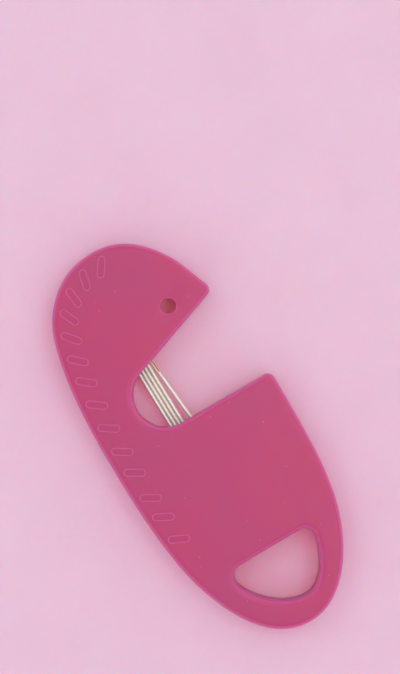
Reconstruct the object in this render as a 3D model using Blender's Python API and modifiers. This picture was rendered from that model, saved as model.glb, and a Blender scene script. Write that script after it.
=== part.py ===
"""A pocket needle threader: a flat plastic tool shaped like a blunt-beaked head over a wide body.

The tool lies on its back face. +Z points out of the front face and +Y from the body to the head.
Two half shells meet at mid-thickness. A flat pocket with five stored needles runs from the body
across the throat into the head. A needle goes eye first into the round eye hole and stands in the
seat. The thread is laid in the slit along the head's lower edge. The thumb button drives a thin
blade through the needle's eye, and a spring brings it back.

All sizes below are in millimetres; the helpers build in metres.
"""

import math

import bmesh
import bpy
from mathutils import Matrix, Vector

MM = 0.001

# Casing
FACE = 7.85  # height of the front face above the back face
RELIEF = 0.15  # height of the raised stitches on the front face
PARTING = 4.0  # height of the joint between the shells
SHELL_GAP = 0.1
WALL = 1.4
EDGE_ROUND = 0.95
LEDGE_SLOPE = 0.7  # fall of the gap's lower edge, in degrees
THROAT = ((-1.8, 9.8), 5.85)  # centre and radius of the round end of the gap
BEAK = ((13.4, 22.64), 1.3)
CORNER = ((15.35, 2.54), 1.3)
# The long curve from the corner round the body, up the back and over the head.
# Each anchor has x, y, heading, and the lengths of the handles behind and ahead of it.
BACK = (
    (16.65, 2.54, -90, 0, 9.0),
    (15.0, -22.0, -104, 7.0, 8.5),
    (0.3, -38.35, 180, 7.0, 7.0),
    (-13.85, -23.6, 108, 9.0, 8.0),
    (-16.65, 6.0, 90, 11.0, 9.5),
    (-12.9, 30.8, 62, 5.5, 3.6),
    (-0.5, 38.35, 0, 6.6, 5.5),
    (11.1, 31.2, -57, 5.0, 3.0),
    (14.62, 23.1, -68, 3.4, 0),
)
LOOP = (
    (-6.1, -23.25, 0, 0, 4.0),
    (6.9, -23.25, 0, 4.0, 1.0),
    (8.6, -25.2, -97, 1.0, 2.6),
    (1.9, -33.95, 180, 3.9, 4.6),
    (-7.85, -26.1, 103, 3.0, 1.4),
    (-6.1, -23.25, 0, 0.9, 0),
)
RIB = 0.9
BODY_RIBS = (-14.5, -6.5)  # heights of the cross ribs on the wide side of the body
BODY_RIB_X = (4.0, 18.0)
NECK_RIBS = (-15.0, 4.5, 23.0)  # heights of the cross ribs along the back
NECK_RIB_X = (-18.0, -6.0)
LONG_RIB_X = 9.9
LONG_RIB_Y = (-22.0, 4.0)
PEGS = (
    (13.4, 0.6),
    (12.2, -20.5),
    (-12.4, -6.0),
    (-10.7, -24.0),
    (0.6, -36.2),
    (-11.7, 15.2),
    (-8.6, 30.6),
    (6.3, 33.2),
)
PEG_RADIUS = 0.8
PEG_BOSS = 1.7
PEG_TIP = 2.5  # height of a peg's free end
FIT = 0.06  # clearance of a peg or pin in its hole

# Raised slanted stitches along the back edge of the front face
STITCHES = 14
STITCH_FIRST, STITCH_LAST = 0.487, 0.862  # places of the first and last along BACK, as shares of its length
STITCH_INSET = 3.1
STITCH_SLANT = 58.0
STITCH_LENGTH, STITCH_WIDTH = 4.1, 1.5
STITCH_LINE = 0.26

# Stored needles
NEEDLE_LENGTH = 36.5
NEEDLE_RADIUS = 0.345
NEEDLE_PITCH = 0.73
NEEDLE_HEIGHT = 2.68
EYE_FROM_END = (0.65, 3.15)
EYE_WIDTH = 0.26
ROW_LEVEL = 10.0  # the height, across the throat, at which the needles' places are given
ROW_X = -3.94
ROW_TILT = 1.0
ROW_EYES = (20.3, 21.2, 19.7, 20.8)  # heights of the four parallel needles' eye ends
LOOSE_X, LOOSE_TILT, LOOSE_EYE = -0.47, 5.1, 17.0  # the fifth needle, which has slid down and leans
ROLLS = (25, -40, 70, 10, 28)  # turn of each needle's eye about its own length, in degrees

# Needle pocket
POCKET_X = (-5.0, 3.0)
POCKET_HEAD_X = (-5.0, 0.4)
POCKET_END, POCKET_HEAD_END = -21.7, 22.0
POCKET_FLOOR = 2.3
POCKET_SIDE = 1.1
COVER_Y = (17.5, 22.5)
COVER_LEDGE = 0.5  # how far the cover overlaps the pocket on each side
COVER_Z = (3.42, 3.85)
KEEPERS = (-19.0, -12.5, -6.0, 1.0)  # cross ribs of the front shell that hold the needles down
KEEPER_TIP = 3.3

# Threading mechanism, in a frame at the eye hole whose t axis points into the head
HOLE = (6.75, 23.2)
HOLE_RADIUS = 1.32
HOLE_ROUND = 0.4
DRIVE_HEADING = 125.0
STROKE = 4.4
SEAT_RADIUS = 2.2
SEAT_Z = (2.0, 3.85)
TROUGH_Z = 2.95
TROUGH_HALF_WIDTHS = (0.12, 1.2)  # at the bottom and at the top
TROUGH_HALF_LENGTH = 1.45
SLIT_TOP = 4.9
SLIT_INNER_END = 1.5
SLIT_E = (-15.0, 12.0)
OUTSIDE_T = -9.0  # a place before the hole, out beyond the head's lower edge
MOUTH_BLOCK_E = (-7.2, 12.0)  # the solid stretch of the head round the hole and the slit
BLADE_T = (1.75, 10.4)
BLADE_Z = (4.15, 5.15)
BLADE_THICKNESS = 0.24
BLADE_NOTCH = 0.28
BLADE_GROOVE_HALF = 0.35
CARRIAGE_T = (7.6, 12.6)
CARRIAGE_HALF_WIDTH = 1.8
CARRIAGE_Z = (2.6, 6.3)
RIVETS = (8.5, 9.6)
RIVET_RADIUS = 0.3
LUG_T = 10.1
LUG_RADIUS = 0.85
LUG_END = 0.5
SPRING_E = -3.3
SPRING_RADIUS = 0.95
SPRING_WIRE = 0.32
SPRING_TURNS = 8
STOP_T = (1.9, 3.0)  # the wall that the spring pushes against
STOP_E = (-4.9, 2.8)
EAR_T = (11.6, 12.6)
EAR_HALF_HEIGHT = 1.1
GUIDE_RADIUS = 0.45
GUIDE_T = (1.95, 14.0)
REAR_WALL_T = (13.2, 14.4)
REAR_WALL_HALF = 1.2
RAIL_GAP = 0.15
THUMB_T = (7.2, 13.0)
THUMB_HALF_WIDTH = 3.0
THUMB_Z = (0.12, 1.2)
RECESS_DEPTH = 1.3
RECESS_FLOOR_T = (1.0, 14.8)
RECESS_FLOOR_HALF = 4.4
RECESS_FLOOR_TOP = 2.3
RECESS_MARGIN = 0.35
THUMB_SLOT_HALF = 1.1
THUMB_GROOVE_DEPTH = 0.3
THUMB_BORDER = 0.5
THUMB_RIDGES = 5

ROUND_SIDES = 16
MAGENTA = (0.52, 0.075, 0.19)


# Points of a plan outline

def arc(circle, start, end, steps):
    (x, y), radius = circle
    angles = [math.radians(start + (end - start) * i / steps) for i in range(steps + 1)]
    return [(x + radius * math.cos(a), y + radius * math.sin(a)) for a in angles]


def smooth(anchors, steps):
    """Points of the cubic curve through anchors of place, heading and handle lengths."""
    points = []
    for (x0, y0, h0, _, ahead), (x1, y1, h1, behind, _) in zip(anchors, anchors[1:]):
        start = Vector((x0, y0))
        end = Vector((x1, y1))
        leave = start + ahead * Vector((math.cos(math.radians(h0)), math.sin(math.radians(h0))))
        arrive = end - behind * Vector((math.cos(math.radians(h1)), math.sin(math.radians(h1))))
        for i in range(steps):
            t = i / steps
            s = 1 - t
            p = s**3 * start + 3 * t * s**2 * leave + 3 * t**2 * s * arrive + t**3 * end
            points.append(tuple(p))
    return points


def gap_slope():
    """Slope, in degrees, of the straight edge that touches the throat's circle and the beak's."""
    (xt, yt), throat = THROAT
    (xb, yb), beak = BEAK
    reach = math.hypot(xb - xt, yb - yt)
    return math.degrees(math.atan2(yb - yt, xb - xt) - math.asin((throat + beak) / reach))


def body_outline():
    """The tool's outline seen from the front, clockwise from the body's corner."""
    slope = gap_slope()
    points = smooth(BACK, 10)
    points += arc(BEAK, BACK[-1][2] + 90, slope - 90, 5)
    points += arc(THROAT, slope + 90, 270 - LEDGE_SLOPE, 16)
    points += arc(CORNER, 90 - LEDGE_SLOPE, 0, 5)[:-1]
    return points


def loop_outline():
    return smooth(LOOP, 7)


def shifted(points, distance):
    """The closed outline moved to its right by a distance, without the points that would fold over."""
    count = len(points)
    edges = [(Vector(points[i]), Vector(points[(i + 1) % count])) for i in range(count)]
    moved = []
    for i in range(count):
        before, after = [(b - a).normalized() for a, b in (edges[i - 1], edges[i])]
        out = Vector((before.y + after.y, -before.x - after.x))
        moved.append(edges[i][0] + out * distance / (1 + before.dot(after)))
    return [tuple(p) for p in moved if nearest(p, edges) > abs(distance) - 0.001]


def nearest(point, edges):
    """Distance from a point to the closest of several straight edges."""
    best = math.inf
    for start, end in edges:
        along = end - start
        share = max(0.0, min(1.0, (point - start).dot(along) / along.length_squared))
        best = min(best, (start + share * along - point).length)
    return best


def stadium(length, width, steps):
    """A round-ended slot outline, centred, along X."""
    half, radius = (length - width) / 2, width / 2
    return arc(((half, 0), radius), 90, -90, steps) + arc(((-half, 0), radius), -90, -270, steps)


def drive(t, e):
    """Plan place of a point of the mechanism's frame: t along the drive, into the head, and e across it."""
    a = math.radians(DRIVE_HEADING)
    x = HOLE[0] + t * math.cos(a) + e * math.sin(a)
    y = HOLE[1] + t * math.sin(a) - e * math.cos(a)
    return x, y


# Solids

def link(obj, collection):
    bpy.data.collections[collection].objects.link(obj)
    if collection == "cutters":
        obj.hide_render = True
        obj.display_type = "WIRE"
    return obj


def mesh_of(curve_object, name, collection):
    """The curve object's shape as a closed mesh object of its own."""
    bpy.context.view_layer.update()
    depsgraph = bpy.context.evaluated_depsgraph_get()
    mesh = bpy.data.meshes.new_from_object(curve_object.evaluated_get(depsgraph))
    bm = bmesh.new()
    bm.from_mesh(mesh)
    bmesh.ops.remove_doubles(bm, verts=bm.verts, dist=0.000001)
    bmesh.ops.recalc_face_normals(bm, faces=bm.faces)
    bm.to_mesh(mesh)
    bm.free()
    obj = bpy.data.objects.new(name, mesh)
    obj.matrix_world = curve_object.matrix_world
    bpy.data.objects.remove(curve_object)
    return link(obj, collection)


def plate(name, outlines, z, rounding=0.0, collection="cutters"):
    """A flat solid between two heights, from its outline and its holes', with rounded edges if asked."""
    curve = bpy.data.curves.new(name, "CURVE")
    curve.dimensions = "2D"
    curve.fill_mode = "BOTH"
    curve.extrude = ((z[1] - z[0]) / 2 - rounding) * MM
    curve.bevel_depth = rounding * MM
    curve.offset = -rounding * MM
    curve.bevel_resolution = 1
    for points in outlines:
        spline = curve.splines.new("POLY")
        spline.points.add(len(points) - 1)
        spline.use_cyclic_u = True
        for spot, (x, y) in zip(spline.points, points):
            spot.co = (x * MM, y * MM, 0, 1)
    obj = bpy.data.objects.new(name + "_outline", curve)
    obj.location.z = (z[0] + z[1]) / 2 * MM
    bpy.context.scene.collection.objects.link(obj)
    return mesh_of(obj, name, collection)


def box(name, x, y, z, collection="cutters"):
    bm = bmesh.new()
    bmesh.ops.create_cube(bm, size=1)
    size = Matrix.Diagonal((x[1] - x[0], y[1] - y[0], z[1] - z[0], 1))
    centre = Vector(((x[0] + x[1]) / 2, (y[0] + y[1]) / 2, (z[0] + z[1]) / 2))
    return placed(name, bm, centre, size, collection)


def drive_box(name, t, e, z, collection="cutters"):
    """A box whose sides follow the mechanism's frame."""
    a, b = t
    c, d = e
    corners = [drive(a, c), drive(b, c), drive(b, d), drive(a, d)]
    return plate(name, [corners], z, collection=collection)


def rod(name, start, end, radius, end_radius=None, collection="cutters", sides=ROUND_SIDES):
    """A cylinder or cone between two points."""
    start, end = Vector(start), Vector(end)
    along = end - start
    bm = bmesh.new()
    bmesh.ops.create_cone(
        bm,
        cap_ends=True,
        segments=sides,
        radius1=radius,
        radius2=radius if end_radius is None else end_radius,
        depth=along.length,
    )
    turn = along.to_track_quat("Z", "Y").to_matrix().to_4x4()
    return placed(name, bm, (start + end) / 2, turn, collection)


def upright(name, place, z, radius, end_radius=None, collection="cutters"):
    return rod(name, (*place, z[0]), (*place, z[1]), radius, end_radius, collection)


def placed(name, bm, centre, shape, collection):
    """The primitive turned or stretched by a matrix and put at its centre, in millimetres."""
    place = Matrix.Scale(MM, 4) @ Matrix.Translation(centre) @ shape
    bmesh.ops.transform(bm, matrix=place, verts=bm.verts)
    return from_bmesh(name, bm, collection)


def from_bmesh(name, bm, collection):
    bmesh.ops.recalc_face_normals(bm, faces=bm.faces)
    mesh = bpy.data.meshes.new(name)
    bm.to_mesh(mesh)
    bm.free()
    return link(bpy.data.objects.new(name, mesh), collection)


def combine(target, operation, others):
    """Cuts, joins or intersects a solid with others, one Boolean for each."""
    for other in others:
        modifier = target.modifiers.new(operation.lower() + "_" + other.name, "BOOLEAN")
        modifier.operation = operation
        modifier.object = other
        modifier.solver = "EXACT"
    return target


def cut(target, *others):
    return combine(target, "DIFFERENCE", others)


def join(target, *others):
    return combine(target, "UNION", others)


def material(name, colour, roughness, metallic=0.0):
    found = bpy.data.materials.get(name)
    if found:
        return found
    made = bpy.data.materials.new(name)
    made.use_nodes = True
    shader = made.node_tree.nodes["Principled BSDF"]
    shader.inputs["Base Color"].default_value = (*colour, 1)
    shader.inputs["Roughness"].default_value = roughness
    shader.inputs["Metallic"].default_value = metallic
    return made


def finish(obj, name, colour, roughness, metallic=0.0):
    """Gives a sub-part its own material and smooth shading up to its sharp edges."""
    obj.data.materials.clear()
    obj.data.materials.append(material(name, colour, roughness, metallic))
    obj.data.shade_smooth()
    obj.data.set_sharp_from_angle(angle=math.radians(35))
    return obj


def move_origin(obj, place):
    """Puts the object's origin at a point, in millimetres, without moving its shape."""
    shift = Vector(place) * MM - obj.location
    obj.data.transform(Matrix.Translation(-shift))
    obj.location += shift
    return obj


# Casing

def casing_half(name, z):
    """The half of the rounded casing between two heights."""
    whole = plate(name, [body_outline(), loop_outline()[::-1]], (0, FACE), EDGE_ROUND, "needle_threader")
    half = box(name + "_half", (-25, 25), (-45, 45), z)
    return combine(whole, "INTERSECT", [half])


def cavity(name, z):
    """The hollow inside one shell, before ribs and bosses are left standing in it."""
    return plate(name, [shifted(body_outline(), WALL), shifted(loop_outline()[::-1], WALL)], z)


def left_standing(prefix, z):
    """Ribs, bosses and blocks that both shells leave standing in their hollows."""
    depth = (z[0] - 1, z[1] + 1)
    half = RIB / 2
    rear = (SPRING_E - REAR_WALL_HALF, SPRING_E + REAR_WALL_HALF)
    blocks = [upright(f"{prefix}_boss_{i}", spot, depth, PEG_BOSS) for i, spot in enumerate(PEGS)]
    blocks += [box(f"{prefix}_rib_{y}", BODY_RIB_X, (y - half, y + half), depth) for y in BODY_RIBS]
    blocks += [box(f"{prefix}_neck_rib_{y}", NECK_RIB_X, (y - half, y + half), depth) for y in NECK_RIBS]
    blocks.append(box(prefix + "_long_rib", (LONG_RIB_X, LONG_RIB_X + RIB), LONG_RIB_Y, depth))
    blocks.append(drive_box(prefix + "_mouth_block", (OUTSIDE_T, STOP_T[0] + 0.5), MOUTH_BLOCK_E, depth))
    blocks.append(drive_box(prefix + "_stop", STOP_T, STOP_E, depth))
    blocks.append(drive_box(prefix + "_rear_wall", REAR_WALL_T, rear, depth))
    rail = CARRIAGE_HALF_WIDTH + RAIL_GAP
    blocks.append(drive_box(prefix + "_rail", (STOP_T[0], REAR_WALL_T[0]), (rail, rail + RIB), depth))
    return blocks


def pocket_blocks():
    """The solid round the needle pocket, which the pocket is cut into."""
    middle = THROAT[0][1]
    depth = (0, PARTING + 1)
    body_x = (POCKET_X[0] - POCKET_SIDE, POCKET_X[1] + POCKET_SIDE)
    head_x = (POCKET_HEAD_X[0] - POCKET_SIDE, POCKET_HEAD_X[1] + POCKET_SIDE)
    body = box("pocket_block", body_x, (POCKET_END - POCKET_SIDE, middle), depth)
    head = box("pocket_head_block", head_x, (middle, POCKET_HEAD_END + POCKET_SIDE), depth)
    return [body, head]


def pocket_cutters(top):
    """The needle pocket's two ends, each open to the throat."""
    throat_y = THROAT[0][1]
    body = box("pocket_body", POCKET_X, (POCKET_END, throat_y - 3.5), (POCKET_FLOOR, top))
    head = box("pocket_head", POCKET_HEAD_X, (throat_y + 3.5, POCKET_HEAD_END), (POCKET_FLOOR, top))
    return [body, head]


def stitch(index, place, heading):
    """One raised stitch: a round-ended ring standing on the front face."""
    turn = Matrix.Rotation(heading, 2)
    rings = []
    for shrink in (0, STITCH_LINE):
        ring = stadium(STITCH_LENGTH - 2 * shrink, STITCH_WIDTH - 2 * shrink, 5)
        rings.append([tuple(turn @ Vector(p) + place) for p in ring])
    return plate(f"stitch_{index}", [rings[0], rings[1][::-1]], (FACE - 0.2, FACE + RELIEF))


def stitches():
    """The row of raised stitches, evenly spaced along the back edge."""
    path = [Vector(p) for p in smooth(BACK, 30)]
    lengths = [0.0]
    for a, b in zip(path, path[1:]):
        lengths.append(lengths[-1] + (b - a).length)
    made = []
    for i in range(STITCHES):
        share = STITCH_FIRST + (STITCH_LAST - STITCH_FIRST) * i / (STITCHES - 1)
        at = next(k for k, length in enumerate(lengths) if length >= share * lengths[-1])
        along = (path[at + 1] - path[at - 1]).normalized()
        place = path[at] + STITCH_INSET * Vector((along.y, -along.x))
        made.append(stitch(i, place, math.atan2(along.y, along.x) + math.radians(STITCH_SLANT)))
    return made


def front_shell():
    low = PARTING - 0.5
    inside = (PARTING, FACE - WALL)
    shell = casing_half("front_shell", (PARTING + SHELL_GAP / 2, FACE + 1))
    cut(shell, cut(cavity("front_hollow", (low, inside[1])), *left_standing("front", inside)))
    cut(shell, drive_box("thread_slit", (OUTSIDE_T, SLIT_INNER_END), SLIT_E, (low, SLIT_TOP)))
    groove = (-BLADE_GROOVE_HALF, BLADE_GROOVE_HALF)
    cut(shell, drive_box("blade_groove", (OUTSIDE_T, STOP_T[1] + 0.5), groove, (low, BLADE_Z[1] + 0.15)))
    cut(shell, upright("eye_hole", HOLE, (low, FACE + 1), HOLE_RADIUS))
    flare = (FACE - HOLE_ROUND, FACE + 0.2)
    cut(shell, upright("eye_hole_edge", HOLE, flare, HOLE_RADIUS, HOLE_RADIUS + HOLE_ROUND + 0.2))
    cut(shell, guide_hole("front_guide_hole"))
    for i, spot in enumerate(PEGS):
        join(shell, upright(f"peg_{i}", spot, (PEG_TIP, FACE - 0.5), PEG_RADIUS))
    x = (POCKET_X[0] + 0.2, POCKET_X[1] - 0.2)
    for y in KEEPERS:
        join(shell, box(f"keeper_{y}", x, (y - RIB / 2, y + RIB / 2), (KEEPER_TIP, FACE - 0.5)))
    join(shell, *stitches())
    return finish(shell, "front_shell_plastic", MAGENTA, 0.34)


def guide_hole(name):
    ends = [(*drive(t, SPRING_E), PARTING) for t in (GUIDE_T[0] - FIT, GUIDE_T[1] + FIT)]
    return rod(name, *ends, GUIDE_RADIUS + FIT)


def back_shell():
    top = PARTING + 0.5
    shell = casing_half("back_shell", (-1, PARTING - SHELL_GAP / 2))
    blocks = left_standing("back", (WALL, PARTING)) + pocket_blocks()
    half = RECESS_FLOOR_HALF
    blocks.append(drive_box("recess_floor", RECESS_FLOOR_T, (-half, half), (0, RECESS_FLOOR_TOP)))
    cut(shell, cut(cavity("back_hollow", (WALL, top)), *blocks))
    cut(shell, *pocket_cutters(top))
    ledge_x = (POCKET_HEAD_X[0] - COVER_LEDGE, POCKET_HEAD_X[1] + COVER_LEDGE)
    cut(shell, box("cover_recess", ledge_x, COVER_Y, (COVER_Z[0] - 0.02, top)))
    cut(shell, upright("seat_recess", HOLE, (SEAT_Z[0] - FIT, top), SEAT_RADIUS + FIT))
    cut(shell, guide_hole("back_guide_hole"))
    for i, spot in enumerate(PEGS):
        cut(shell, upright(f"socket_{i}", spot, (PEG_TIP - 0.3, top), PEG_RADIUS + FIT))
    margin = RECESS_MARGIN
    reach = (THUMB_T[0] - STROKE - margin, THUMB_T[1] + margin)
    width = (-THUMB_HALF_WIDTH - margin, THUMB_HALF_WIDTH + margin)
    cut(shell, drive_box("thumb_recess", reach, width, (-1, RECESS_DEPTH)))
    slot = (LUG_T - STROKE - LUG_RADIUS - margin, LUG_T + LUG_RADIUS + 0.2)
    slot_width = (-THUMB_SLOT_HALF, THUMB_SLOT_HALF)
    cut(shell, drive_box("thumb_slot", slot, slot_width, (0.5, RECESS_FLOOR_TOP + 0.5)))
    return finish(shell, "back_shell_plastic", MAGENTA, 0.36)


def pocket_cover():
    gap = 0.12
    x = (POCKET_HEAD_X[0] - COVER_LEDGE + gap, POCKET_HEAD_X[1] + COVER_LEDGE - gap)
    y = (COVER_Y[0] + gap, COVER_Y[1] - gap)
    cover = box("pocket_cover", x, y, COVER_Z, "needle_threader")
    return finish(cover, "cover_plastic", MAGENTA, 0.4)


# Threading mechanism

def needle_seat():
    """A cup with a V-shaped trough that turns the needle's flat eye across the blade's path."""
    seat = upright("needle_seat", HOLE, SEAT_Z, SEAT_RADIUS, collection="needle_threader")
    low, high = TROUGH_HALF_WIDTHS
    rise = SEAT_Z[1] - TROUGH_Z
    spread = (high - low) * (rise + 0.3) / rise + low
    bm = bmesh.new()
    for z, half in ((TROUGH_Z, low), (SEAT_Z[1] + 0.3, spread)):
        for t, e in ((-half, -1), (-half, 1), (half, 1), (half, -1)):
            bm.verts.new(Vector((*drive(t, e * TROUGH_HALF_LENGTH), z)) * MM)
    bmesh.ops.convex_hull(bm, input=bm.verts)
    cut(seat, from_bmesh("trough", bm, "cutters"))
    return finish(seat, "seat_plastic", (0.55, 0.13, 0.17), 0.35)


def threading_blade():
    half = BLADE_THICKNESS / 2
    blade = drive_box("threading_blade", BLADE_T, (-half, half), BLADE_Z, "needle_threader")
    cut(blade, cross_rod("blade_notch", BLADE_T[0], 1.0, BLADE_NOTCH, sides=4))
    cut(blade, *[cross_rod(f"blade_hole_{i}", t, 1.0, RIVET_RADIUS + 0.03) for i, t in enumerate(RIVETS)])
    move_origin(blade, (*drive(BLADE_T[0], 0), sum(BLADE_Z) / 2))
    return finish(blade, "blade_steel", (0.75, 0.75, 0.76), 0.22, 1.0)


def cross_rod(name, t, half_length, radius, collection="cutters", sides=12):
    """A rod across the blade, at the blade's mid-height."""
    ends = [(*drive(t, e), sum(BLADE_Z) / 2) for e in (-half_length, half_length)]
    return rod(name, *ends, radius, collection=collection, sides=sides)


def blade_carriage():
    """The slider that holds the blade: a block with an ear for the spring and a lug for the button."""
    half = CARRIAGE_HALF_WIDTH
    carriage = drive_box("blade_carriage", CARRIAGE_T, (-half, half), CARRIAGE_Z, "needle_threader")
    ear_z = (PARTING - EAR_HALF_HEIGHT, PARTING + EAR_HALF_HEIGHT)
    ear = drive_box("ear", EAR_T, (SPRING_E - 1.0, 0), ear_z)
    lug = upright("lug", drive(LUG_T, 0), (LUG_END, CARRIAGE_Z[0] + 0.5), LUG_RADIUS)
    join(carriage, ear, lug)
    slot_half = BLADE_THICKNESS / 2 + 0.03
    slot_t = (CARRIAGE_T[0] - 1, BLADE_T[1] + 0.05)
    cut(carriage, drive_box("blade_slot", slot_t, (-slot_half, slot_half), (BLADE_Z[0] - 0.05, 7)))
    for i, t in enumerate(RIVETS):
        cut(carriage, cross_rod(f"carriage_hole_{i}", t, 3.0, RIVET_RADIUS + 0.03))
    bore_ends = [(*drive(t, SPRING_E), PARTING) for t in (EAR_T[0] - 1, EAR_T[1] + 1)]
    cut(carriage, rod("ear_bore", *bore_ends, GUIDE_RADIUS + FIT))
    move_origin(carriage, (*drive(LUG_T, 0), PARTING))
    return finish(carriage, "carriage_plastic", (0.86, 0.85, 0.82), 0.38)


def blade_rivets():
    half = CARRIAGE_HALF_WIDTH - 0.1
    for i, t in enumerate(RIVETS):
        rivet = cross_rod(f"blade_rivet_{i + 1}", t, half, RIVET_RADIUS, "needle_threader")
        finish(rivet, f"rivet_{i + 1}_steel", (0.7, 0.7, 0.71), 0.3, 1.0)


def thumb_button():
    """The ribbed button in the back face's recess, pressed onto the carriage's lug."""
    half = THUMB_HALF_WIDTH
    button = drive_box("thumb_button", THUMB_T, (-half, half), THUMB_Z, "needle_threader")
    pitch = (THUMB_T[1] - THUMB_T[0]) / THUMB_RIDGES
    width = (THUMB_BORDER - half, half - THUMB_BORDER)
    for i in range(THUMB_RIDGES - 1):
        t = THUMB_T[0] + pitch * (i + 1)
        groove_t = (t - pitch / 4, t + pitch / 4)
        cut(button, drive_box(f"thumb_groove_{i}", groove_t, width, (-1, THUMB_Z[0] + THUMB_GROOVE_DEPTH)))
    cut(button, upright("lug_socket", drive(LUG_T, 0), (LUG_END - FIT, 3), LUG_RADIUS + FIT))
    move_origin(button, (*drive(LUG_T, 0), THUMB_Z[0]))
    return finish(button, "button_plastic", MAGENTA, 0.4)


def return_spring():
    """The coil between the stop wall and the carriage's ear."""
    start = STOP_T[1] + 0.12 + SPRING_WIRE / 2
    end = EAR_T[0] - 0.12 - SPRING_WIRE / 2
    steps = SPRING_TURNS * 12
    curve = bpy.data.curves.new("return_spring", "CURVE")
    curve.dimensions = "3D"
    curve.bevel_depth = SPRING_WIRE / 2 * MM
    curve.bevel_resolution = 1
    curve.use_fill_caps = True
    spline = curve.splines.new("POLY")
    spline.points.add(steps)
    for i, spot in enumerate(spline.points):
        share = i / steps
        turn = 2 * math.pi * SPRING_TURNS * share
        x, y = drive(start + (end - start) * share, SPRING_E + SPRING_RADIUS * math.cos(turn))
        spot.co = (x * MM, y * MM, (PARTING + SPRING_RADIUS * math.sin(turn)) * MM, 1)
    coil = bpy.data.objects.new("return_spring_wire", curve)
    bpy.context.scene.collection.objects.link(coil)
    spring = mesh_of(coil, "return_spring", "needle_threader")
    return finish(spring, "spring_steel", (0.6, 0.6, 0.62), 0.28, 1.0)


def spring_guide_pin():
    ends = [(*drive(t, SPRING_E), PARTING) for t in GUIDE_T]
    pin = rod("spring_guide_pin", *ends, GUIDE_RADIUS, collection="needle_threader")
    return finish(pin, "pin_steel", (0.66, 0.66, 0.67), 0.25, 1.0)


# Stored needles

def needle_mesh():
    """One needle along +Z, eye end at the origin's side of +Z, as a mesh that all five share."""
    r = NEEDLE_RADIUS
    end = NEEDLE_LENGTH
    profile = (
        (0.0, end),
        (0.5 * r, end - 0.06),
        (0.86 * r, end - 0.3),
        (r, end - 0.9),
        (r, 9.0),
        (0.93 * r, 6.5),
        (0.74 * r, 3.6),
        (0.42 * r, 1.2),
        (0.16 * r, 0.15),
        (0.0, 0.0),
    )
    mesh = bpy.data.meshes.new("needle_blank")
    edges = [(i, i + 1) for i in range(len(profile) - 1)]
    mesh.from_pydata([(x * MM, 0, z * MM) for x, z in profile], edges, [])
    blank = link(bpy.data.objects.new("needle_blank", mesh), "cutters")
    screw = blank.modifiers.new("turn", "SCREW")
    screw.steps = screw.render_steps = 12
    screw.use_merge_vertices = True
    screw.merge_threshold = 0.000001
    half = EYE_WIDTH / 2
    eye = box("needle_eye", (-half, half), (-1, 1), (end - EYE_FROM_END[1], end - EYE_FROM_END[0]))
    cut(blank, eye)
    bpy.context.view_layer.update()
    made = bpy.data.meshes.new_from_object(blank.evaluated_get(bpy.context.evaluated_depsgraph_get()))
    bpy.data.objects.remove(blank)
    bpy.data.objects.remove(eye)
    return made


def needles():
    shared = needle_mesh()
    rows = [(ROW_X + NEEDLE_PITCH * i, ROW_TILT, eye_y) for i, eye_y in enumerate(ROW_EYES)]
    rows.append((LOOSE_X, LOOSE_TILT, LOOSE_EYE))
    for i, (x, tilt, eye_y) in enumerate(rows):
        lean = math.radians(tilt)
        tip_y = eye_y - NEEDLE_LENGTH * math.cos(lean)
        tip_x = x + (ROW_LEVEL - tip_y) * math.tan(lean)
        needle = link(bpy.data.objects.new(f"needle_{i + 1}", shared.copy()), "needle_threader")
        needle.location = Vector((tip_x, tip_y, NEEDLE_HEIGHT)) * MM
        needle.rotation_euler = (math.radians(-90), math.radians(ROLLS[i]), lean)
        finish(needle, f"needle_{i + 1}_steel", (0.78, 0.76, 0.72), 0.25, 1.0)


def clear_scene():
    for obj in list(bpy.data.objects):
        bpy.data.objects.remove(obj)
    for name in ("needle_threader", "cutters"):
        collection = bpy.data.collections.get(name) or bpy.data.collections.new(name)
        if name not in bpy.context.scene.collection.children:
            bpy.context.scene.collection.children.link(collection)


def main():
    clear_scene()
    front_shell()
    back_shell()
    pocket_cover()
    needle_seat()
    threading_blade()
    blade_carriage()
    blade_rivets()
    thumb_button()
    return_spring()
    spring_guide_pin()
    needles()


main()
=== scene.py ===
"""Looks of the pocket needle threader: finer mouldings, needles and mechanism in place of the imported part's.

The plan outline, the hollows and the mechanism's places repeat those of the part. Named sizes are in
millimetres and degrees, and the helpers build in metres. Two directions name places in the mechanism:
t runs from the eye hole into the head, along the blade, and e runs across it.
"""

import math

import bmesh
import bpy
from mathutils import Matrix, Vector


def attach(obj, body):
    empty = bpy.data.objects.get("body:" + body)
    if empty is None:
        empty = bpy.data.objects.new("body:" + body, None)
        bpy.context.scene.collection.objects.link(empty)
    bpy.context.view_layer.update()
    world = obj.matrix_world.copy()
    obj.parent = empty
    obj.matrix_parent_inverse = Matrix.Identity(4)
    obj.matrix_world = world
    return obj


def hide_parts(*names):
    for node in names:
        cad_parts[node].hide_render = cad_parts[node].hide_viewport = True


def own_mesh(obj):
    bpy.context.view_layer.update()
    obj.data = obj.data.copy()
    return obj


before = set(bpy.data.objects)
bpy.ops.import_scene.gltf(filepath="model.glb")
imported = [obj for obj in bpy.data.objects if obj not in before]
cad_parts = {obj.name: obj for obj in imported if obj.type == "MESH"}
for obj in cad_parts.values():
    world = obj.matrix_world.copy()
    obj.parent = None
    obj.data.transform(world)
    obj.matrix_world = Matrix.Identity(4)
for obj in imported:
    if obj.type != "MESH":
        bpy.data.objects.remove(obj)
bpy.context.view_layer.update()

MM = 0.001
OVERLAP = 0.5  # how far cutters and joined shapes reach past the surfaces that they meet

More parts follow.
